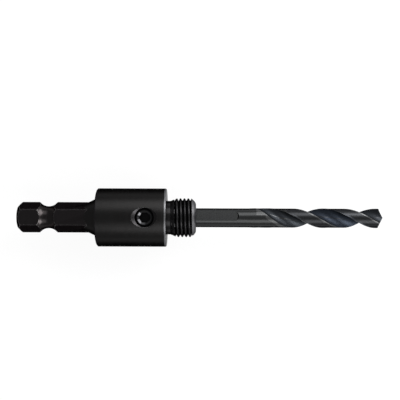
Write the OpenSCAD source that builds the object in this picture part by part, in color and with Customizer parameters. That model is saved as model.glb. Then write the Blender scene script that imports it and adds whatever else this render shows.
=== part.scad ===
// Hole saw arbor, lying on its collar. One turned body has a hex shank, a collar and a
// threaded nose. A pilot drill sits in its bore, and a set screw clamps the drill.
// Lengths are in millimetres. The arbor runs along X with its drill towards +X. x = 0 is
// the collar's front face, where a saw seats, and the set screw looks up along +Z.

/* [Shank] */
// Hexagon, across its flats
hex_af = 8.73; // [7:0.01:11]
// Metal turned off each corner of the hexagon
corner_turned = 0.065; // [0:0.005:0.2]
// Length from the collar's back face to the shank's end
shank_l = 25.85; // [22:0.05:60]
// Length of the 45 degree chamfer at the shank's end
end_chamfer = 1.67; // [0.5:0.01:2.5]
// Middle of the chuck's groove, from the shank's end
groove_from_end = 9.85; // [8:0.05:14]
// Diameter left at the bottom of the groove
groove_d = 7.19; // [5:0.01:8.5]
// Radius of the groove's round section
groove_r = 3.8; // [2:0.05:5]
// Diameter of the flare where it meets the collar
flare_d = 12.8; // [12:0.1:18]
// Slope of the flare against the axis
flare_angle = 26; // [15:1:60]

/* [Collar] */
// Collar diameter
collar_d = 19.05; // [19:0.05:30]
// Collar length
collar_l = 22.5; // [18:0.1:40]
// Chamfer on the collar's two edges
collar_chamfer = 0.3; // [0.1:0.05:1]

/* [Nose] */
// Outside diameter of the saw's thread
thread_d = 12.7; // [12:0.1:16]
// Length of the nose in front of the collar
nose_l = 9.4; // [7:0.1:16]
// Diameter of the neck between the collar and the thread
neck_d = 11; // [10:0.1:11.8]
// Length of the neck
neck_l = 2.05; // [0.5:0.05:3]
// Length of the chamfer at the nose's end
nose_chamfer_l = 1.3; // [0.5:0.1:2]
// Diameter of the nose's end face
nose_end_d = 9.2; // [8:0.1:11]

/* [Pilot drill] */
// Cutting diameter
drill_d = 6.35; // [5:0.05:7]
// Diameter of the plain shank, a little under the cutting diameter
drill_shank_d = 6.2; // [4.8:0.05:6.8]
// Overall length
drill_l = 82.55; // [60:0.05:120]
// Length of the drill that lies behind the collar's front face
drill_in = 11.9; // [9:0.05:16]
// Length of the flutes, from the tip to where they run out
flute_l = 41.5; // [25:0.1:55]
// Length of the run-out, inside the flute length
runout_l = 11.4; // [5:0.1:15]
// Length ground to the cutting diameter behind the flutes
ground_l = 0.6; // [0.4:0.1:3]
// Advance of the flutes in one turn
flute_lead = 33.9; // [20:0.1:60]
// Radius of the round flute section
flute_r = 3.83; // [2.5:0.01:5]
// Web thickness at the point
web_t = 0.76; // [0.5:0.01:1.6]
// Web thickness where the run-out starts
web_back_t = 1.72; // [1:0.01:2.5]
// Point angle
point_angle = 135; // [100:1:140]
// Clearance angle ground behind each lip
lip_clearance = 12; // [4:1:16]
// Depth that the land is cleared behind its margin
land_clearance = 0.1; // [0:0.01:0.15]
// Direction of the flutes at the point, from +Y
point_turn = 80; // [0:5:180]
// Depth of the clamping flat
flat_depth = 0.44; // [0.2:0.01:0.8]
// Length of the clamping flat, from the back end
flat_l = 35.4; // [20:0.05:39]
// Turn of the flat away from the set screw, towards +Y
flat_turn = 13; // [0:1:14]
// Radius of the flat's rounded end, at the drill's surface
flat_end_r = 3; // [2:0.1:5]
// Chamfer at the back end
drill_chamfer = 0.4; // [0.1:0.05:0.8]

/* [Set screw] */
// Outside diameter
screw_d = 6; // [5:0.05:7.5]
// Overall length
screw_l = 5; // [4.2:0.1:6.3]
// Distance of the screw's axis behind the collar's front face
screw_in = 6.7; // [5:0.05:7]
// Hex socket, across its flats
socket_af = 3; // [2.5:0.05:3.5]
// Depth of the hex socket
socket_depth = 2.2; // [1.5:0.1:2.8]
// Radius of the oval point
oval_r = 2.6; // [2:0.1:3.5]
// Height of the oval point
oval_h = 0.8; // [0.3:0.05:1]
// Width of the chamfer on the screw's top edge
screw_chamfer = 0.4; // [0.3:0.05:1]
// Diameter of the countersink at the collar's crown
sink_d = 8.2; // [7.8:0.1:10]
// Angle of the countersink
sink_angle = 118; // [90:1:120]

/* [Fits] */
// Radial gap between the drill and its bore
bore_gap = 0.03; // [0.01:0.005:0.1]
// Radial gap between the set screw and its tapped hole
screw_gap = 0.03; // [0.01:0.005:0.1]
// Gap between the drill's back end and the bottom of its bore
seat_gap = 0.05; // [0.02:0.01:0.3]
// Gap between the set screw's point and the drill's flat
clamp_gap = 0.04; // [0.02:0.01:0.1]

/* [Hidden] */
$fn = 96;

cut_over = 1;                       // how far a cutter reaches past the face it opens
corner_r = hex_af / 2 / cos(30) - corner_turned;
shank_end_x = -collar_l - shank_l;
flare_start = 0.1;                  // the flare starts this far inside the flats
flare_low_r = hex_af / 2 - flare_start;
flare_back_l = (flare_d / 2 - flare_low_r) / tan(flare_angle);
collar_r = collar_d / 2;
thread_r = thread_d / 2;
neck_r = neck_d / 2;

drill_r = drill_d / 2;
drill_shank_r = drill_shank_d / 2;
drill_back_x = -drill_in;
tip_x = drill_l - drill_in;
drill_shank_end_x = tip_x - flute_l - ground_l / 2;     // inside the ground length
bore_r = drill_shank_r + bore_gap;
bore_end_x = drill_back_x - seat_gap;
bore_point_angle = 118;             // left by the drill that made the bore
bore_point_l = bore_r / tan(bore_point_angle / 2);

screw_x = -screw_in;
screw_r = screw_d / 2;
tap_r = screw_r + screw_gap;
tap_floor = bore_r / 2;             // the tapped hole breaks into the bore above its axis
sink_slope = tan(sink_angle / 2);
sink_h = (sink_d / 2 - tap_r) / sink_slope;

// The oval point touches the flat beside the screw's axis, because the flat is turned.
flat_height = drill_shank_r - flat_depth;
flat_end_x = drill_back_x + flat_l;
flat_end_slope = 1.25;              // the flat's end climbs outwards at this slope
screw_low_z = (flat_height + oval_r + clamp_gap) / cos(flat_turn) - oval_r;
oval_edge = acos((oval_r - oval_h) / oval_r);
oval_steps = 6;
socket_corner_r = socket_af / 2 / cos(30);
face_r = screw_r - screw_chamfer;
mouth_rim = 0.15;                   // flat rim left round the socket's mouth
mouth_r = face_r - mouth_rim;
mouth_h = 0.8;                      // depth of the mouth's cone
mouth_low_r = socket_af / 2;

flute_steps = 6;                    // points along each half of a flute's section
land_steps = 12;                    // points along each land
ring_gap = 0.9;                     // distance between the rings of the fluted body
point_steps = 5;                    // rings that close the body in to the point
heel_margin = 0.1;                  // plain length left behind the heel of the point
shallowest = 0.04;                  // depth of the flutes on their first ring
margin_share = 1 - 1 / land_steps;
heel_slope = tan(lip_clearance) * (180 - 2 * full_opening()) * PI / 180;

// A solid of revolution about X, from points given as [x, radius]
module turned(points) {
    rotate([90, 0, 90]) rotate_extrude() polygon([for (p = points) [p[1], p[0]]]);
}

// Half the web's thickness at a distance s behind the tip, with the run-out at the end
function web_half(s) = let (
    plain_l = flute_l - runout_l,
    plain = web_t / 2 + (web_back_t - web_t) / 2 * min(1, s / plain_l),
    t = max(0, min(1, (s - plain_l) / runout_l))
) min(drill_r - shallowest, plain + (drill_r - plain) * t * t);

// The angle on the flute's own circle at which it reaches the outside of the drill
function flute_reach(h) = let (c = h + flute_r)
    acos(min(1, (c * c + flute_r * flute_r - drill_r * drill_r) / (2 * c * flute_r)));

// A point of the flute's circle, with the flute's middle along the first axis
function flute_point(h, angle) = [h + flute_r - flute_r * cos(angle), flute_r * sin(angle)];

// Half the angle of the flute's opening, seen from the drill's axis
function opening(h) = let (p = flute_point(h, flute_reach(h))) atan2(p[1], p[0]);
function full_opening() = opening(web_t / 2);

// The land is cleared behind a narrow margin, which leads it in the cut
function land_point(h, share) = let (
    a = opening(h) + (180 - 2 * opening(h)) * share,
    cleared = land_clearance * min(1, drill_r - h),
    r = share > margin_share - 0.01 ? drill_r : drill_r - cleared
) [r * cos(a), r * sin(a)];

// One half of the section: a half flute, a land and the next half flute.
// Each entry is [first axis, second axis, share of the clearance behind the lip].
function half_section(h) = concat(
    [for (i = [0:flute_steps - 1])
        let (p = flute_point(h, flute_reach(h) * i / flute_steps))
        [p[0], p[1], i == 0 ? 0 : 1]],
    [for (j = [0:land_steps])
        let (p = land_point(h, j / land_steps)) [p[0], p[1], 1 - j / land_steps]],
    [for (i = [flute_steps - 1:-1:1])
        let (p = flute_point(h, flute_reach(h) * i / flute_steps)) [-p[0], p[1], 0]]
);

function section(h) = let (half = half_section(h))
    concat(half, [for (p = half) [-p[0], -p[1], p[2]]]);

function flute_turn(s) = point_turn - 360 * s / flute_lead;

// A section point brought to its place at a distance s behind the tip
function placed(p, s) = let (a = flute_turn(s))
    [tip_x - s, p[0] * cos(a) - p[1] * sin(a), p[0] * sin(a) + p[1] * cos(a)];

// How far behind the tip the ground point leaves this section point
function ground_back(p) = norm([p[0], p[1]]) * (1 / tan(point_angle / 2) + heel_slope * p[2]);

function ring(s) = [for (p = section(web_half(s))) placed(p, s)];

// A ring on the way from a flat one to the ground point
function point_ring(s, share) = [for (i = [0:len(section(web_t / 2)) - 1])
    let (
        back = ground_back(section(web_t / 2)[i]),
        si = s + (back - s) * share
    ) placed(section(web_half(si))[i], si)];

module fluted_body() {
    corner_s = drill_r * (1 / tan(point_angle / 2) + heel_slope) + heel_margin;
    rings = ceil((flute_l - corner_s) / ring_gap);
    points = concat(
        ring(flute_l + ground_l),
        [for (k = [0:rings]) each ring(flute_l - (flute_l - corner_s) * k / rings)],
        [for (k = [1:point_steps]) each point_ring(corner_s, k / point_steps)],
        [[tip_x, 0, 0]]
    );
    n = len(section(web_t / 2));
    bands = rings + 1 + point_steps;
    last = bands * n;
    faces = concat(
        [[for (i = [0:n - 1]) i]],
        [for (k = [0:bands - 1]) for (i = [0:n - 1])
            let (a = k * n + i, b = k * n + (i + 1) % n)
            each [[a, a + n, b], [b, a + n, b + n]]],
        [for (i = [0:n - 1]) [last + i, last + n, last + (i + 1) % n]]
    );
    polyhedron(points, faces);
}

module arbor_body() {
    color("#1d1e20") difference() {
        union() {
            difference() {
                intersection() {
                    translate([shank_end_x, 0, 0]) rotate([0, 90, 0]) rotate([0, 0, 30])
                        cylinder(r = hex_af / 2 / cos(30), h = shank_l + cut_over, $fn = 6);
                    turned([
                        [shank_end_x, 0],
                        [shank_end_x, corner_r - end_chamfer],
                        [shank_end_x + end_chamfer, corner_r],
                        [cut_over - collar_l, corner_r],
                        [cut_over - collar_l, 0]
                    ]);
                }
                translate([shank_end_x + groove_from_end, 0, 0]) rotate([0, 90, 0])
                    rotate_extrude() translate([groove_d / 2 + groove_r, 0]) circle(r = groove_r);
            }
            turned([
                [-collar_l - flare_back_l, 0],
                [-collar_l - flare_back_l, flare_low_r],
                [-collar_l, flare_d / 2],
                [-collar_l, collar_r - collar_chamfer],
                [-collar_l + collar_chamfer, collar_r],
                [-collar_chamfer, collar_r],
                [0, collar_r - collar_chamfer],
                [0, neck_r],
                [neck_l, neck_r],
                [neck_l + thread_r - neck_r, thread_r],
                [nose_l - nose_chamfer_l, thread_r],
                [nose_l, nose_end_d / 2],
                [nose_l, 0]
            ]);
        }
        turned([
            [bore_end_x - bore_point_l, 0],
            [bore_end_x, bore_r],
            [nose_l + cut_over, bore_r],
            [nose_l + cut_over, 0]
        ]);
        translate([screw_x, 0, 0]) {
            translate([0, 0, tap_floor]) cylinder(r = tap_r, h = collar_r - tap_floor);
            translate([0, 0, collar_r - sink_h])
                cylinder(r1 = tap_r, r2 = sink_d / 2 + cut_over * sink_slope, h = sink_h + cut_over);
        }
    }
}

module set_screw() {
    color("#141416") translate([screw_x, 0, screw_low_z]) difference() {
        rotate_extrude() polygon(concat(
            [for (k = [0:oval_steps])
                let (a = oval_edge * k / oval_steps) [oval_r * sin(a), oval_r * (1 - cos(a))]],
            [
                [screw_r, oval_h + screw_r - oval_r * sin(oval_edge)],
                [screw_r, screw_l - screw_chamfer],
                [face_r, screw_l],
                [0, screw_l]
            ]
        ));
        translate([0, 0, screw_l - socket_depth])
            cylinder(r = socket_corner_r, h = socket_depth + cut_over, $fn = 6);
        translate([0, 0, screw_l - mouth_h])
            cylinder(
                r1 = mouth_low_r,
                r2 = mouth_r + (mouth_r - mouth_low_r) * cut_over / mouth_h,
                h = mouth_h + cut_over
            );
    }
}

module pilot_drill() {
    color("#24262b") {
        difference() {
            turned([
                [drill_back_x, 0],
                [drill_back_x, drill_shank_r - drill_chamfer],
                [drill_back_x + drill_chamfer, drill_shank_r],
                [drill_shank_end_x, drill_shank_r],
                [drill_shank_end_x, 0]
            ]);
            rotate([-flat_turn, 0, 0]) {
                translate([drill_back_x - cut_over, -drill_shank_r, flat_height])
                    cube([flat_l - flat_end_r + cut_over, 2 * drill_shank_r, drill_shank_r]);
                translate([flat_end_x - flat_end_r, 0, flat_height])
                    cylinder(
                        r1 = flat_end_r - flat_depth * flat_end_slope,
                        r2 = flat_end_r + cut_over * flat_end_slope,
                        h = flat_depth + cut_over
                    );
            }
        }
        fluted_body();
    }
}

arbor_body();
set_screw();
pilot_drill();
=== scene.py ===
import bpy
from math import acos, asin, atan2, cos, degrees, pi, radians, sin, sqrt, tan
from mathutils import Matrix, Vector


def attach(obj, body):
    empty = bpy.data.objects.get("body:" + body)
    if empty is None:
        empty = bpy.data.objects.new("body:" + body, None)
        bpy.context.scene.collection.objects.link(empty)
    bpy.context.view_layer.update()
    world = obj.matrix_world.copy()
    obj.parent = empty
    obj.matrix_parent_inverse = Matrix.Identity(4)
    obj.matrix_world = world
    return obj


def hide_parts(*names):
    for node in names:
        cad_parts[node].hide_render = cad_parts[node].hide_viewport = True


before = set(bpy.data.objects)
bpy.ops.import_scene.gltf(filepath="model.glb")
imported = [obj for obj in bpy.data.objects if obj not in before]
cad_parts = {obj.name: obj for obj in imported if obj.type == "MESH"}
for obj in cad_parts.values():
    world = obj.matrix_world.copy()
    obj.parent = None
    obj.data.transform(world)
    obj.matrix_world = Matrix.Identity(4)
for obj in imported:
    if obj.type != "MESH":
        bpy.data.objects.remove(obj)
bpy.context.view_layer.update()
mm = 0.001


# Camera: close above the arbor, looking straight down

cameraSetup = {
    "place": (10.9, 0.0, 230.0),        # mm
    "roll": 0.21,                       # degrees, the drill's tip dips a little
    "lens": 63.27,
    "shift": 0.0444,                    # the arbor lies below the picture's middle
}


def addCamera(setup):
    bpy.ops.object.camera_add(location=[v * mm for v in setup["place"]],
                              rotation=(0, 0, radians(setup["roll"])))
    camera = bpy.context.object
    camera.name = "camera"
    camera.data.lens = setup["lens"]
    camera.data.sensor_width = 36
    camera.data.shift_y = setup["shift"]
    camera.data.clip_start = 0.01
    bpy.context.scene.camera = camera


addCamera(cameraSetup)
print("camera placed")


# Small helpers for modelling

def clearSelection():
    if bpy.context.object and bpy.context.object.mode != "OBJECT":
        bpy.ops.object.mode_set(mode="OBJECT")
    bpy.ops.object.select_all(action="DESELECT")


def makeActive(piece):
    clearSelection()
    piece.select_set(True)
    bpy.context.view_layer.objects.active = piece


def applyPlace():
    bpy.ops.object.transform_apply(location=True, rotation=True, scale=True)


def startRing(name, radius, sides, place, upright=False):
    # a filled ring, ready to be grown by extruding; it faces along X, or up when upright
    clearSelection()
    bpy.ops.mesh.primitive_circle_add(
        vertices=sides, radius=radius * mm, fill_type="NGON",
        location=[v * mm for v in place], rotation=(0, 0 if upright else pi / 2, 0))
    piece = bpy.context.object
    piece.name = name
    applyPlace()
    bpy.ops.object.mode_set(mode="EDIT")
    bpy.ops.mesh.select_all(action="SELECT")
    return piece


def closeShape():
    bpy.ops.mesh.select_all(action="SELECT")
    bpy.ops.mesh.remove_doubles(threshold=0.000001)
    bpy.ops.mesh.normals_make_consistent(inside=False)
    bpy.ops.object.mode_set(mode="OBJECT")


def turnShape(name, stations, sides, centre=(0, 0), upright=False):
    # turned as on a lathe: the ring goes from one station (place, radius) to the next
    first, radius = stations[0]
    place = (centre[0], centre[1], first) if upright else (first, 0, 0)
    piece = startRing(name, radius, sides, place, upright)
    for (before, oldRadius), (here, newRadius) in zip(stations, stations[1:]):
        step = (here - before) * mm
        share = newRadius / oldRadius
        move = (0, 0, step) if upright else (step, 0, 0)
        grow = (share, share, 1) if upright else (1, share, share)
        pivot = (centre[0], centre[1], here) if upright else (here, 0, 0)
        bpy.ops.mesh.extrude_region_move(TRANSFORM_OT_translate={"value": move})
        bpy.ops.transform.resize(value=grow, center_override=[v * mm for v in pivot])
    closeShape()
    return piece


def shapeWith(piece, tool, operation):
    # cuts, joins or keeps what both share, and throws the tool away
    makeActive(piece)
    change = piece.modifiers.new("shape", "BOOLEAN")
    change.operation = operation
    change.solver = "MANIFOLD"
    change.object = tool
    bpy.ops.object.modifier_apply(modifier=change.name)
    bpy.data.objects.remove(tool)


def threadRidge(name, profile, pitch, turns, start, steps, upright=False, centre=(0, 0)):
    # one ridge of a right-hand thread; profile is half of it, as (half width, radius)
    points = [(-w, r) for w, r in profile] + [(w, r) for w, r in reversed(profile)]
    clearSelection()
    bpy.ops.mesh.primitive_circle_add(vertices=len(points), radius=mm, fill_type="NGON")
    piece = bpy.context.object
    piece.name = name
    for vertex, (along, radius) in zip(piece.data.vertices, points):
        vertex.co = (radius * mm, 0, along * mm) if upright else (along * mm, radius * mm, 0)
    winding = piece.modifiers.new("thread", "SCREW")
    winding.axis = "Z" if upright else "X"
    winding.angle = 2 * pi
    winding.screw_offset = pitch * mm
    winding.iterations = turns
    winding.steps = steps
    winding.render_steps = steps
    bpy.ops.object.modifier_apply(modifier=winding.name)
    piece.location = [v * mm for v in ((centre[0], centre[1], start) if upright else (start, 0, 0))]
    applyPlace()
    bpy.ops.object.mode_set(mode="EDIT")
    bpy.ops.mesh.select_all(action="DESELECT")
    bpy.ops.mesh.select_mode(type="EDGE")
    bpy.ops.mesh.select_non_manifold()
    bpy.ops.mesh.edge_face_add()
    bpy.ops.mesh.select_mode(type="VERT")
    closeShape()
    return piece


def finishPiece(piece, body, node, angle):
    makeActive(piece)
    bpy.ops.object.shade_smooth_by_angle(angle=radians(angle))
    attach(piece, body)
    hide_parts(node)


# Arbor body: hex shank, collar and threaded nose, turned from one bar

arborSize = {
    "hexFlats": 8.73,
    "cornerRadius": 4.975,
    "shankEnd": -48.25,
    "endChamfer": 1.28,
    "grooveMiddle": -38.5,
    "grooveBottom": 3.595,
    "grooveRadius": 3.8,
    "flareLow": 4.265,
    "flareHigh": 6.4,
    "flareSlope": 26,
    "shankFinish": -25.5,               # behind this the black is a shade warmer
    "collarBack": -22.5,
    "collarRadius": 9.525,
    "collarChamfer": 0.3,
    "backBand": 0.7,                    # the collar's back edge gets neither the lighter edge colour nor the softened edge shading
    "neckRadius": 5.5,
    "neckEnd": 1.3,
    "threadStart": 3.5,                 # where the thread has its full height
    "threadRadius": 6.35,
    "threadRoot": 5.52,
    "pitch": 1.27,
    "crestHalf": 0.11,
    "crestRound": 0.13,                 # the crests are rounded over this depth
    "firstCrest": 3.24,                 # where a crest passes +Y
    "nose": [(8.1, 6.35), (8.5, 5.95), (8.8, 5.7), (9.12, 5.35), (9.4, 4.95), (9.58, 4.5)],
    "boreRadius": 3.13,
    "boreEnd": -11.95,
    "boreTip": -13.83,
    "screwAt": -6.7,
    "tapRadius": 3.03,
    "tapFloor": 1.565,
    "sinkRadius": 4.1,
    "sinkSlope": 59,
}


def grooveStations(size):
    # the chuck's groove is a round cut; it leaves and meets the shank at the same radius
    middle = size["grooveMiddle"]
    radius = size["grooveRadius"]
    centreHeight = size["grooveBottom"] + radius
    half = sqrt(radius ** 2 - (centreHeight - size["cornerRadius"]) ** 2)
    steps = 48
    stations = []
    for k in range(steps + 1):
        offset = -half + 2 * half * k / steps
        stations.append((middle + offset, centreHeight - sqrt(radius ** 2 - offset ** 2)))
    return stations


def buildShank(size):
    end = size["shankEnd"]
    shank = turnShape("shank", [
        (end, size["cornerRadius"] - size["endChamfer"]),
        (end + size["endChamfer"], size["cornerRadius"]),
        *grooveStations(size),
        (size["collarBack"] + 1, size["cornerRadius"]),
    ], 144)
    corner = size["hexFlats"] / 2 / cos(radians(30))
    hexBar = startRing("hexBar", corner, 6, (end - 1, 0, 0))
    bpy.ops.mesh.extrude_region_move(
        TRANSFORM_OT_translate={"value": ((size["collarBack"] + 2 - end) * mm, 0, 0)})
    closeShape()
    shapeWith(shank, hexBar, "INTERSECT")
    return shank


def buildThread(size):
    root = size["threadRoot"]
    top = size["threadRadius"]
    slope = tan(radians(30))
    base = root - 0.12
    half = size["crestHalf"]
    low = top - size["crestRound"]
    ridge = threadRidge("ridge", [(2.3 * half + (low - base) * slope, base), (2.3 * half, low),
                                  (1.75 * half, top - 0.4 * size["crestRound"]), (half, top)],
                        size["pitch"], 9, size["firstCrest"] - 2 * size["pitch"], 96)
    envelope = turnShape("envelope", [
        (size["neckEnd"], 1),
        (size["neckEnd"], size["neckRadius"]),
        (size["threadStart"], top + 0.03),
        (size["nose"][0][0], top + 0.03),
        *size["nose"][1:],
        (size["nose"][-1][0], 1),
    ], 144)
    shapeWith(ridge, envelope, "INTERSECT")
    return ridge


def buildArborBody(size):
    body = buildShank(size)
    back = size["collarBack"]
    radius = size["collarRadius"]
    chamfer = size["collarChamfer"]
    flare = (size["flareHigh"] - size["flareLow"]) / tan(radians(size["flareSlope"]))
    collar = turnShape("collar", [
        (back - flare, size["flareLow"]),
        (back, size["flareHigh"]),
        (back, radius - chamfer),
        (back + chamfer, radius),
        (back + size["backBand"], radius),
        (-0.5, radius),
        (-0.2, radius - 0.05),
        (0, radius - 0.22),
        (0, size["neckRadius"]),
        (size["neckEnd"], size["neckRadius"]),
        (size["neckEnd"] + 0.2, size["threadRoot"]),
        (size["nose"][3][0] - 0.1, size["threadRoot"]),
        *size["nose"][3:],
    ], 192)
    shapeWith(body, collar, "UNION")
    shapeWith(body, buildThread(size), "UNION")
    noseEnd = size["nose"][-1][0]
    bore = turnShape("bore", [
        (size["boreTip"], 0.02),
        (size["boreEnd"], size["boreRadius"]),
        (noseEnd - 0.25, size["boreRadius"]),
        (noseEnd, size["boreRadius"] + 0.25),
        (noseEnd + 1, size["boreRadius"] + 0.25),
    ], 96)
    shapeWith(body, bore, "DIFFERENCE")
    slope = tan(radians(size["sinkSlope"]))
    depth = (size["sinkRadius"] - size["tapRadius"]) / slope
    tapped = turnShape("tapped", [
        (size["tapFloor"], size["tapRadius"]),
        (radius - depth, size["tapRadius"]),
        (radius + 1, size["sinkRadius"] + slope),
    ], 96, (size["screwAt"], 0), True)
    shapeWith(body, tapped, "DIFFERENCE")
    body.name = "arborBody"
    return body


arborBody = buildArborBody(arborSize)
finishPiece(arborBody, "arbor", "arbor_body", 28)
print("arbor body built", len(arborBody.data.polygons))


# Set screw: M6 with a hex socket and an oval point

screwSize = {
    "axisAt": -6.7,
    "low": 2.839,
    "length": 5.0,
    "radius": 3.0,
    "root": 2.39,
    "pitch": 1.0,
    "ovalRadius": 2.6,
    "ovalHeight": 0.8,
    "chamfer": 0.4,
    "socketFlats": 3.15,
    "socketDepth": 2.2,
    "mouthRadius": 2.25,
    "mouthLow": 1.55,
    "mouthDepth": 0.48,
}


def buildSetScrew(size):
    centre = (size["axisAt"], 0)
    low = size["low"]
    top = low + size["length"]
    oval = size["ovalRadius"]
    edge = acos((oval - size["ovalHeight"]) / oval)
    ovalEdge = oval * sin(edge)
    point = [(low + oval * (1 - cos(edge * k / 8)), oval * sin(edge * k / 8)) for k in range(1, 9)]
    shoulder = low + size["ovalHeight"] - ovalEdge
    face = size["radius"] - size["chamfer"]
    screw = turnShape("setScrew", [
        *point,
        (shoulder + size["root"], size["root"]),
        (top - size["chamfer"], size["root"]),
        (top, face),
    ], 96, centre, True)
    slope = tan(radians(30))
    crest = size["pitch"] / 16
    base = size["root"] - 0.12
    ridge = threadRidge("screwRidge",
                        [(crest + (size["radius"] - base) * slope, base), (crest, size["radius"])],
                        size["pitch"], 6, low - 0.9, 72, True, centre)
    envelope = turnShape("screwEnvelope", [
        (shoulder + 1.5, 1.5),
        (shoulder + size["radius"] + 0.1, size["radius"] + 0.1),
        (top - size["chamfer"] - 0.1, size["radius"] + 0.1),
        (top, face),
    ], 96, centre, True)
    shapeWith(ridge, envelope, "INTERSECT")
    shapeWith(screw, ridge, "UNION")
    corner = size["socketFlats"] / 2 / cos(radians(30))
    socket = startRing("socket", corner, 6, (*centre, top - size["socketDepth"]), True)
    bpy.ops.transform.rotate(value=pi / 6, orient_axis="Z",
                             center_override=(centre[0] * mm, 0, top * mm))
    bpy.ops.mesh.extrude_region_move(TRANSFORM_OT_translate={"value": (0, 0, 3 * mm)})
    closeShape()
    shapeWith(screw, socket, "DIFFERENCE")
    rise = (size["mouthRadius"] - size["mouthLow"]) / size["mouthDepth"]
    mouth = turnShape("mouth", [
        (top - size["mouthDepth"], size["mouthLow"]),
        (top + 0.5, size["mouthRadius"] + 0.5 * rise),
    ], 96, centre, True)
    shapeWith(screw, mouth, "DIFFERENCE")
    return screw


setScrew = buildSetScrew(screwSize)
finishPiece(setScrew, "screw", "set_screw", 28)
print("set screw built", len(setScrew.data.polygons))


# Pilot drill: plain shank with a clamping flat, two flutes that run out, ground point

drillSize = {
    "tip": 70.52,
    "back": -11.9,
    "backChamfer": 0.4,
    "shankRadius": 3.1,
    "radius": 3.175,
    "clearedRadius": 3.12,
    "fluteLength": 41.4,
    "runOut": 11.4,
    "groundLength": 0.6,
    "lead": 33.9,
    "fluteRadius": 3.2,
    "webHalf": 0.38,
    "webHalfBack": 0.86,
    "fluteTurn": 80,                    # degrees from +Y towards +Z, at the tip
    "step": 0.45,
    "pointAngle": 135,
    "lipClearance": 22,
    "lipTurn": 193,
    "flatHeight": 2.66,
    "flatTurn": 13,
    "flatEnd": 23.5,
    "flatEndRadius": 3.0,
    "flatEndSlope": 0.8,
    "landStart": 38.9,                  # from here on the lands are darker than the shank
}


def webHalfAt(size, behind):
    plainLength = size["fluteLength"] - size["runOut"]
    plain = size["webHalf"] + (size["webHalfBack"] - size["webHalf"]) * min(1, behind / plainLength)
    share = max(0, (behind - plainLength) / size["runOut"])
    return plain + (size["radius"] - plain) * share ** 2


def fluteOpening(size, behind):
    # half the angle that a flute takes of the drill's outside, in degrees
    half = webHalfAt(size, behind)
    middle = half + size["fluteRadius"]
    reach = (middle ** 2 + size["fluteRadius"] ** 2 - size["radius"] ** 2) / 2 / middle / size["fluteRadius"]
    reach = acos(min(1, reach))
    return degrees(atan2(size["fluteRadius"] * sin(reach), middle - size["fluteRadius"] * cos(reach)))


def turnAbout(angle):
    # a positive angle goes from +Y towards +Z
    bpy.ops.transform.rotate(value=-radians(angle), orient_axis="X", center_override=(0, 0, 0))


def buildFluteCutter(size):
    behind = -1.0
    angle = size["fluteTurn"] + 360 / size["lead"]
    middle = webHalfAt(size, behind) + size["fluteRadius"]
    direction = radians(angle)
    place = (size["tip"] - behind, middle * cos(direction), middle * sin(direction))
    cutter = startRing("fluteCutter", size["fluteRadius"], 96, place)
    steps = round((size["fluteLength"] + 1) / size["step"])
    move = (size["fluteLength"] + 1) / steps
    for k in range(steps):
        behind += move
        newMiddle = webHalfAt(size, behind) + size["fluteRadius"]
        turn = -360 * move / size["lead"]
        angle += turn
        bpy.ops.mesh.extrude_region_move(TRANSFORM_OT_translate={"value": (-move * mm, 0, 0)})
        turnAbout(turn)
        outward = (newMiddle - middle) * mm
        direction = radians(angle)
        bpy.ops.transform.translate(value=(0, outward * cos(direction), outward * sin(direction)))
        middle = newMiddle
    closeShape()
    return cutter


def buildDrillBlank(size):
    # the fluted length carries two margins, and the rest of each land is cleared behind them
    tip = size["tip"]
    behind = size["fluteLength"] + size["groundLength"]
    blank = turnShape("pilotDrill", [
        (size["back"], size["shankRadius"] - size["backChamfer"]),
        (size["back"] + size["backChamfer"], size["shankRadius"]),
        (tip - behind - 1.8, size["shankRadius"]),
        (tip - behind, size["radius"]),
        (tip - size["fluteLength"], size["radius"]),
        (tip - size["fluteLength"] + 3.5, size["clearedRadius"] - 0.01),
    ], 144)
    fluted = startRing("fluted", size["clearedRadius"], 144, (tip - size["fluteLength"] - 0.3, 0, 0))
    bpy.ops.mesh.select_all(action="DESELECT")
    bpy.ops.object.mode_set(mode="OBJECT")
    for vertex in fluted.data.vertices:
        around = degrees(atan2(vertex.co.z, vertex.co.y)) % 180
        vertex.select = around > 173.5 or around < 0.5
    bpy.ops.object.mode_set(mode="EDIT")
    share = size["radius"] / size["clearedRadius"]
    bpy.ops.transform.resize(value=(1, share, share), center_override=(0, 0, 0))
    bpy.ops.mesh.select_all(action="SELECT")
    behind = size["fluteLength"]

    def marginTurn(behind):
        return size["fluteTurn"] - 360 * behind / size["lead"] + 180 - fluteOpening(size, behind)

    angle = marginTurn(behind)
    turnAbout(angle)
    steps = round(size["fluteLength"] / size["step"])
    move = size["fluteLength"] / steps
    bpy.ops.mesh.extrude_region_move(TRANSFORM_OT_translate={"value": (0.3 * mm, 0, 0)})
    for k in range(steps):
        behind -= move
        turn = marginTurn(behind) - angle
        angle += turn
        bpy.ops.mesh.extrude_region_move(TRANSFORM_OT_translate={"value": (move * mm, 0, 0)})
        turnAbout(turn)
    closeShape()
    shapeWith(blank, fluted, "UNION")
    return blank


def pointCutter(size, turn):
    # a block above the ground face behind one lip
    lip = radians(size["lipTurn"] + turn)
    behindLip = lip - pi / 2
    fall = 1 / tan(radians(size["pointAngle"] / 2))
    drop = tan(radians(size["lipClearance"]))
    normal = Vector((
        1,
        fall * cos(lip) + drop * cos(behindLip),
        fall * sin(lip) + drop * sin(behindLip))).normalized()
    clearSelection()
    place = Vector((size["tip"], 0, 0)) + normal * 10
    bpy.ops.mesh.primitive_cube_add(size=20 * mm, location=place * mm,
                                    rotation=normal.to_track_quat("Z", "Y").to_euler())
    cutter = bpy.context.object
    applyPlace()
    return cutter


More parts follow.
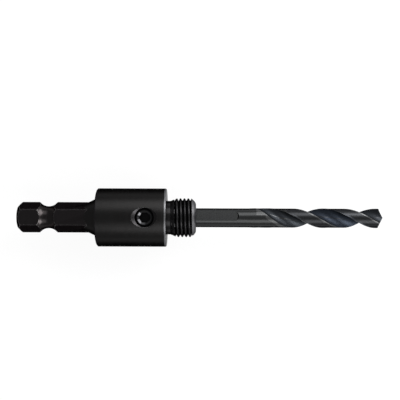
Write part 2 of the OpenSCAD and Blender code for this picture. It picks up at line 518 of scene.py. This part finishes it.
def flatCutter(size):
    # the flat ends in a slope, where the cutter was lifted out of the shank
    radius = size["flatEndRadius"]
    middle = size["flatEnd"] - radius
    length = middle - size["back"] + 2
    depth = size["shankRadius"] - size["flatHeight"]
    cutter = turnShape("flatCutter", [
        (size["flatHeight"], radius - depth * size["flatEndSlope"]),
        (size["flatHeight"] + 3, radius + (3 - depth) * size["flatEndSlope"]),
    ], 96, (middle, 0), True)
    clearSelection()
    bpy.ops.mesh.primitive_cube_add(
        size=mm, location=((middle - length / 2) * mm, 0, (size["flatHeight"] + 1.5) * mm),
        scale=(length, 2 * radius, 3))
    slab = bpy.context.object
    applyPlace()
    shapeWith(cutter, slab, "UNION")
    cutter.rotation_euler = (-radians(size["flatTurn"]), 0, 0)
    applyPlace()
    return cutter


def buildPilotDrill(size):
    drill = buildDrillBlank(size)
    cutter = buildFluteCutter(size)
    clearSelection()
    makeActive(cutter)
    bpy.ops.object.duplicate()
    second = bpy.context.object
    second.rotation_euler = (pi, 0, 0)
    applyPlace()
    shapeWith(drill, cutter, "DIFFERENCE")
    shapeWith(drill, second, "DIFFERENCE")
    shapeWith(drill, pointCutter(size, 0), "DIFFERENCE")
    shapeWith(drill, pointCutter(size, 180), "DIFFERENCE")
    shapeWith(drill, flatCutter(size), "DIFFERENCE")
    return drill


pilotDrill = buildPilotDrill(drillSize)
finishPiece(pilotDrill, "drill", "pilot_drill", 28)
print("pilot drill built", len(pilotDrill.data.polygons))


# Materials

def linear(code):
    # an sRGB hex colour, as Blender's linear values
    parts = [int(code[k:k + 2], 16) / 255 for k in (0, 2, 4)]
    return [v / 12.92 if v <= 0.04045 else ((v + 0.055) / 1.055) ** 2.4 for v in parts] + [1.0]


def addNode(tree, kind, settings=None, inputs=None, links=None):
    # settings go on the node, inputs on its sockets, and links come from other nodes' sockets
    node = tree.nodes.new(kind)
    for name, value in (settings or {}).items():
        setattr(node, name, value)
    for name, value in (inputs or {}).items():
        node.inputs[name].default_value = value
    for name, socket in (links or {}).items():
        tree.links.new(socket, node.inputs[name])
    return node


def newMaterial(name):
    material = bpy.data.materials.new(name)
    material.use_nodes = True
    material.node_tree.nodes.clear()
    return material, material.node_tree


# each finish's worn colour lightens it along its edges: rubbed wear, and in part a painted highlight
finishes = {
    "body": {"softEdges": True,
             "light": "2b2a2a", "dark": "252525", "edgeWearAndHighlight": "b0afb0", "edgeWearAndHighlightAmount": 1.0,
             "roughLow": 0.30, "roughHigh": 0.38, "tint": 0.18, "ringsPerMm": 2.2, "bump": 0.02},
    "shank": {"softEdges": True,
              "light": "2e2b2c", "dark": "272526", "edgeWearAndHighlight": "b8b6b7", "edgeWearAndHighlightAmount": 1.0,
              "roughLow": 0.30, "roughHigh": 0.38, "tint": 0.12, "ringsPerMm": 2.2, "bump": 0.02},
    "groove": {"softEdges": True,
               "light": "302d2d", "dark": "282626", "edgeWearAndHighlight": "4c4b4c", "edgeWearAndHighlightAmount": 0.5,
               "roughLow": 0.22, "roughHigh": 0.28, "tint": 0.25, "ringsPerMm": 2.2, "bump": 0.01},
    # painted light: a lighter copy of the body's black, so the neck shines as brightly as its lit bands
    "neck": {"light": "353435", "dark": "2c2c2c", "edgeWearAndHighlight": "5a5a5a", "edgeWearAndHighlightAmount": 0.0,
             "roughLow": 0.20, "roughHigh": 0.26, "tint": 0.25, "ringsPerMm": 2.2, "bump": 0.01},
    # painted light: a lighter copy of the body's black, so the thread's flanks shine as where light falls on
    # them
    "thread": {"light": "363536", "dark": "2d2d2e", "edgeWearAndHighlight": "5a5a5a", "edgeWearAndHighlightAmount": 0.0,
               "roughLow": 0.30, "roughHigh": 0.36, "tint": 0.22, "ringsPerMm": 2.2, "bump": 0.01},
    # painted highlight: a light grey for the collar's front edge and the nose's rounding
    "paintedEdgeHighlight": {"light": "707072", "dark": "626264", "edgeWearAndHighlight": "707072", "edgeWearAndHighlightAmount": 0.5,
              "roughLow": 0.32, "roughHigh": 0.40, "tint": 0.3, "ringsPerMm": 2.2, "bump": 0.01},
    # painted reflection: a lighter black for the faces seen edge-on
    "front": {"light": "404041", "dark": "373738", "edgeWearAndHighlight": "6c6c6e", "edgeWearAndHighlightAmount": 0.5,
              "roughLow": 0.30, "roughHigh": 0.36, "tint": 0.6, "ringsPerMm": 2.2, "bump": 0.01},
    "sink": {"light": "2a292a", "dark": "252425", "edgeWearAndHighlight": "4c4b4c", "edgeWearAndHighlightAmount": 0.0,
             "roughLow": 0.30, "roughHigh": 0.36, "tint": 0.22, "ringsPerMm": 2.2, "bump": 0.01},
    # the screw's own dark black, made darker still so the floor of its socket reads black: partly painted
    # shade
    "screw": {"light": "1b1b1c", "dark": "141415", "edgeWearAndHighlight": "484849", "edgeWearAndHighlightAmount": 0.0,
              "roughLow": 0.28, "roughHigh": 0.36, "tint": 0.15, "ringsPerMm": 3.0, "bump": 0.01},
    # painted highlight: a lighter grey for the cone at the socket's mouth
    "mouth": {"light": "3a3a3b", "dark": "303032", "edgeWearAndHighlight": "484849", "edgeWearAndHighlightAmount": 0.0,
              "roughLow": 0.10, "roughHigh": 0.14, "tint": 0.25, "ringsPerMm": 3.0, "bump": 0.005},
    "drill": {"light": "444546", "dark": "3b3c3c", "edgeWearAndHighlight": "7c7d7d", "edgeWearAndHighlightAmount": 0.5,
              "roughLow": 0.23, "roughHigh": 0.28, "tint": 0.12, "ringsPerMm": 3.0, "bump": 0.005},
    "land": {"light": "38393b", "dark": "303133", "edgeWearAndHighlight": "6a6b6d", "edgeWearAndHighlightAmount": 0.6,
             "roughLow": 0.26, "roughHigh": 0.32, "tint": 0.15, "ringsPerMm": 3.0, "bump": 0.005},
    # painted highlight: a lighter grey along the heel behind each flute
    "heel": {"light": "5c5d5e", "dark": "505151", "edgeWearAndHighlight": "7c7d7d", "edgeWearAndHighlightAmount": 0.6,
             "roughLow": 0.28, "roughHigh": 0.36, "tint": 0.15, "ringsPerMm": 3.0, "bump": 0.005},
    "flute": {"light": "323539", "dark": "222427", "edgeWearAndHighlight": "55585c", "edgeWearAndHighlightAmount": 0.4,
              "roughLow": 0.44, "roughHigh": 0.50, "tint": 0.1, "ringsPerMm": 1.2, "bump": 0.01},
    "blueFlute": {"light": "313741", "dark": "25282d", "edgeWearAndHighlight": "55585c", "edgeWearAndHighlightAmount": 0.4,
                  "roughLow": 0.46, "roughHigh": 0.52, "tint": 0.1, "ringsPerMm": 1.2, "bump": 0.01},
}


def edgeWearAndHighlightShare(tree, amount, bevel):
    # the black is rubbed thin along the edges, and the lighter edge colour is in part a painted highlight
    # along them
    geometry = addNode(tree, "ShaderNodeNewGeometry")
    same = addNode(tree, "ShaderNodeVectorMath", {"operation": "DOT_PRODUCT"},
                   links={0: bevel.outputs["Normal"], 1: geometry.outputs["Normal"]})
    return addNode(tree, "ShaderNodeMapRange",
                   inputs={"From Min": 0.98, "From Max": 0.88, "To Min": 0.0, "To Max": amount},
                   links={"Value": same.outputs["Value"]})


def blackOxide(name, finish):
    # turned steel, blacked: a very dark satin metal with fine rings from the lathe
    material, tree = newMaterial(name)
    place = addNode(tree, "ShaderNodeTexCoord")
    rings = addNode(tree, "ShaderNodeMapping",
                    inputs={"Scale": (1000 * finish["ringsPerMm"], 60, 60)},
                    links={"Vector": place.outputs["Object"]})
    ringNoise = addNode(tree, "ShaderNodeTexNoise",
                        inputs={"Scale": 1.0, "Detail": 3.0, "Roughness": 0.6},
                        links={"Vector": rings.outputs["Vector"]})
    grain = addNode(tree, "ShaderNodeTexNoise",
                    inputs={"Scale": 1800.0, "Detail": 4.0, "Roughness": 0.6},
                    links={"Vector": place.outputs["Object"]})
    black = addNode(tree, "ShaderNodeMix", {"data_type": "RGBA"},
                    {6: linear(finish["dark"]), 7: linear(finish["light"])},
                    {"Factor": grain.outputs["Fac"]})
    bevel = addNode(tree, "ShaderNodeBevel", {"samples": 12}, {"Radius": 0.2 * mm})
    edgeWearAndHighlight = edgeWearAndHighlightShare(tree, finish["edgeWearAndHighlightAmount"], bevel)
    colour = addNode(tree, "ShaderNodeMix", {"data_type": "RGBA"}, {7: linear(finish["edgeWearAndHighlight"])},
                     {"Factor": edgeWearAndHighlight.outputs["Result"], 6: black.outputs[2]})
    rough = addNode(tree, "ShaderNodeMapRange",
                    inputs={"From Min": 0.3, "From Max": 0.7,
                            "To Min": finish["roughLow"], "To Max": finish["roughHigh"]},
                    links={"Value": ringNoise.outputs["Fac"]})
    height = addNode(tree, "ShaderNodeMath", {"operation": "ADD"},
                     links={0: ringNoise.outputs["Fac"], 1: grain.outputs["Fac"]})
    bump = addNode(tree, "ShaderNodeBump",
                   inputs={"Strength": 0.5, "Distance": finish["bump"] * mm},
                   links={"Height": height.outputs["Value"]})
    if finish.get("softEdges"):
        tree.links.new(bevel.outputs["Normal"], bump.inputs["Normal"])
    tint = finish["tint"]
    shader = addNode(tree, "ShaderNodeBsdfPrincipled",
                     inputs={"Metallic": 1.0, "Specular Tint": (tint, tint, tint, 1)},
                     links={"Base Color": colour.outputs[2], "Roughness": rough.outputs["Result"],
                            "Normal": bump.outputs["Normal"]})
    addNode(tree, "ShaderNodeOutputMaterial", links={"Surface": shader.outputs["BSDF"]})
    return material


def fromAxis(place):
    return sqrt(place.y ** 2 + place.z ** 2)


def isShank(place, normal):
    return place.x < arborSize["shankFinish"]


def isGroove(place, normal):
    straight = abs(normal.x) < 0.02
    return abs(place.x - arborSize["grooveMiddle"]) < 2.9 and not straight


def isSink(place, normal):
    away = sqrt((place.x - arborSize["screwAt"]) ** 2 + place.y ** 2)
    straight = place.z / fromAxis(place) * normal.z + place.y / fromAxis(place) * normal.y
    return away < arborSize["sinkRadius"] + 0.1 and place.z > 3 and straight < 0.97


def isNeck(place, normal):
    return 0.02 < place.x < arborSize["neckEnd"] + 0.1


def isThread(place, normal):
    return place.x >= arborSize["neckEnd"] + 0.1 and fromAxis(place) > 4.4


def isFront(place, normal):
    # the face that the saw seats on, and the end of the nose; their lighter black is a painted reflection,
    # as they are seen edge-on
    return normal.x > 0.98 and fromAxis(place) > 3.2 and (abs(place.x) < 0.02 or place.x > 9.3)


def isPaintedEdgeHighlight(place, normal):
    # the collar's front edge and the rounding of the nose, painted a light grey: a painted highlight where
    # they shine edge-on
    collar = -0.52 < place.x < -0.01
    nose = place.x > arborSize["nose"][0][0] and fromAxis(place) > 3.2
    return (collar or nose) and normal.x < 0.98


def isBackEdge(place, normal):
    return place.x < arborSize["collarBack"] + arborSize["backBand"] and fromAxis(place) > 6.5


def isMouth(place, normal):
    # the cone at the mouth of the screw's socket, painted a lighter grey: a painted highlight
    away = sqrt((place.x - screwSize["axisAt"]) ** 2 + place.y ** 2)
    top = screwSize["low"] + screwSize["length"]
    return away < screwSize["mouthRadius"] and place.z > top - 0.7 and 0.3 < normal.z < 0.98


def pastFlute(place):
    # degrees from the edge of the flute to the land on its shank side
    behind = drillSize["tip"] - place.x
    middle = drillSize["fluteTurn"] - 360 * behind / drillSize["lead"]
    away = (degrees(atan2(place.z, place.y)) - middle) % 180
    return away - fluteOpening(drillSize, behind)


def isLand(place, normal):
    return place.x > drillSize["landStart"]


def isHeel(place, normal):
    # a lighter band on the edge behind each flute, widest where the flutes run out: a painted highlight for
    # the heel's bright line
    if place.x < drillSize["tip"] - drillSize["fluteLength"]:
        return False
    width = 8 if place.x > drillSize["landStart"] else 22
    return -3 < pastFlute(place) < width


def isFlatEnd(place, normal):
    # the slope at the end of the clamping flat, painted a darker black: painted shade
    return 15 < place.x < drillSize["flatEnd"] + 0.1 and 0.3 < normal.z < 0.95 and normal.x < -0.1


def isFlute(place, normal):
    # what looks outwards is land, and what looks along the drill is the ground point
    outward = (normal.y * place.y + normal.z * place.z) / fromAxis(place)
    inFlutes = place.x > drillSize["tip"] - drillSize["fluteLength"]
    return inFlutes and outward < 0.97 and normal.x < 0.6


def isBlueFlute(place, normal):
    # one of the two flutes is painted a bluer black
    behind = drillSize["tip"] - place.x
    middle = drillSize["fluteTurn"] - 360 * behind / drillSize["lead"]
    away = (degrees(atan2(place.z, place.y)) - middle) % 360
    return isFlute(place, normal) and 90 < away < 270


def paintFaces(piece, name, key, test):
    piece.data.materials.append(blackOxide(name, finishes[key]))
    index = len(piece.data.materials) - 1
    for face in piece.data.polygons:
        if test(face.center / mm, face.normal):
            face.material_index = index


for piece, name, key in ((arborBody, "blackOxideTurnedSteel", "body"),
                         (setScrew, "blackOxideAlloySteel", "screw"),
                         (pilotDrill, "blackOxideHighSpeedSteel", "drill")):
    piece.data.materials.clear()
    piece.data.materials.append(blackOxide(name, finishes[key]))
paintFaces(arborBody, "blackOxideShankSteel", "shank", isShank)
paintFaces(arborBody, "blackOxideGrooveSteel", "groove", isGroove)
paintFaces(arborBody, "blackOxideSinkSteel", "sink", isSink)
paintFaces(arborBody, "paintedLightNeckSteel", "neck", isNeck)
paintFaces(arborBody, "paintedLightThreadSteel", "thread", isThread)
paintFaces(arborBody, "paintedReflectionFrontSteel", "front", isFront)
paintFaces(arborBody, "paintedHighlightEdgeSteel", "paintedEdgeHighlight", isPaintedEdgeHighlight)
paintFaces(arborBody, "blackOxideEdgeSteel", "sink", isBackEdge)
paintFaces(setScrew, "paintedHighlightScrewSteel", "mouth", isMouth)
paintFaces(pilotDrill, "paintedShadeSlopeSteel", "sink", isFlatEnd)
paintFaces(pilotDrill, "blackOxideLandSteel", "land", isLand)
paintFaces(pilotDrill, "paintedHighlightHeelSteel", "heel", isHeel)
paintFaces(pilotDrill, "blackOxideFluteSteel", "flute", isFlute)
paintFaces(pilotDrill, "bluerFluteSteel", "blueFlute", isBlueFlute)
print("materials made")


# Floor and lights

studio = {
    "floorHeight": -9.525,
    "floorShadow": 0.12,
    "world": 0.38,
    "lamps": [
        # direction from the arbor, distance, width, length (mm), radiance
        {"name": "longBoxBack", "direction": (0.24, 0.735, 0.63), "distance": 600,
         "size": (620, 420), "radiance": 1.9},
        {"name": "longBoxFront", "direction": (0.28, -0.63, 0.72), "distance": 600,
         "size": (580, 350), "radiance": 1.7},
        {"name": "rightBoxBack", "direction": (0.70, 0.60, 0.40), "distance": 600,
         "size": (430, 490), "radiance": 7.7},
        {"name": "rightBoxFront", "direction": (0.72, -0.545, 0.43), "distance": 600,
         "size": (290, 340), "radiance": 9.6},
        {"name": "rightBoxHigh", "direction": (0.83, 0.0, 0.55), "distance": 600,
         "size": (160, 160), "radiance": 1.0},
    ],
}


def addFloor(setup):
    clearSelection()
    bpy.ops.mesh.primitive_plane_add(size=6, location=(0, 0, setup["floorHeight"] * mm))
    floor = bpy.context.object
    floor.name = "floor"
    applyPlace()
    material, tree = newMaterial("whitePaperSweep")
    path = addNode(tree, "ShaderNodeLightPath")
    seen = addNode(tree, "ShaderNodeMath", {"operation": "MAXIMUM"},
                   links={0: path.outputs["Is Camera Ray"], 1: path.outputs["Is Glossy Ray"]})
    seenToo = addNode(tree, "ShaderNodeMath", {"operation": "MAXIMUM"},
                      links={0: seen.outputs["Value"], 1: path.outputs["Is Transmission Ray"]})
    share = addNode(tree, "ShaderNodeMath", {"operation": "MULTIPLY"},
                    inputs={1: 1 - setup["floorShadow"]}, links={0: seenToo.outputs["Value"]})
    paper = addNode(tree, "ShaderNodeBsdfDiffuse", inputs={"Color": (0.9, 0.9, 0.9, 1)})
    glow = addNode(tree, "ShaderNodeEmission", inputs={"Color": (1, 1, 1, 1), "Strength": 1.0})
    mix = addNode(tree, "ShaderNodeMixShader", links={0: share.outputs["Value"]})
    tree.links.new(paper.outputs["BSDF"], mix.inputs[1])
    tree.links.new(glow.outputs["Emission"], mix.inputs[2])
    addNode(tree, "ShaderNodeOutputMaterial", links={"Surface": mix.outputs["Shader"]})
    floor.data.materials.append(material)


def addLamps(setup):
    for lamp in setup["lamps"]:
        direction = Vector(lamp["direction"]).normalized()
        clearSelection()
        bpy.ops.object.light_add(type="AREA", location=direction * lamp["distance"] * mm)
        light = bpy.context.object
        light.name = lamp["name"]
        light.data.shape = "RECTANGLE"
        width, height = lamp["size"]
        light.data.size = width * mm
        light.data.size_y = height * mm
        light.data.energy = lamp["radiance"] * pi * width * height * mm * mm
        side = Vector((1, 0, 0)) if abs(direction.x) < 0.5 else Vector((-direction.y, direction.x, 0))
        side = (side - direction * side.dot(direction)).normalized()
        up = direction.cross(side)
        turn = Matrix((side, up, direction)).transposed()
        light.rotation_euler = turn.to_euler()


def setWorld(setup):
    world = bpy.data.worlds.new("dimRoom")
    bpy.context.scene.world = world
    world.use_nodes = True
    tree = world.node_tree
    tree.nodes.clear()
    room = addNode(tree, "ShaderNodeBackground",
                   inputs={"Color": (1, 1, 1, 1), "Strength": setup["world"]})
    addNode(tree, "ShaderNodeOutputWorld", links={"Surface": room.outputs["Background"]})


addFloor(studio)
addLamps(studio)
setWorld(studio)
bpy.context.scene.view_settings.view_transform = "Standard"
print("floor and lights set")

clearSelection()
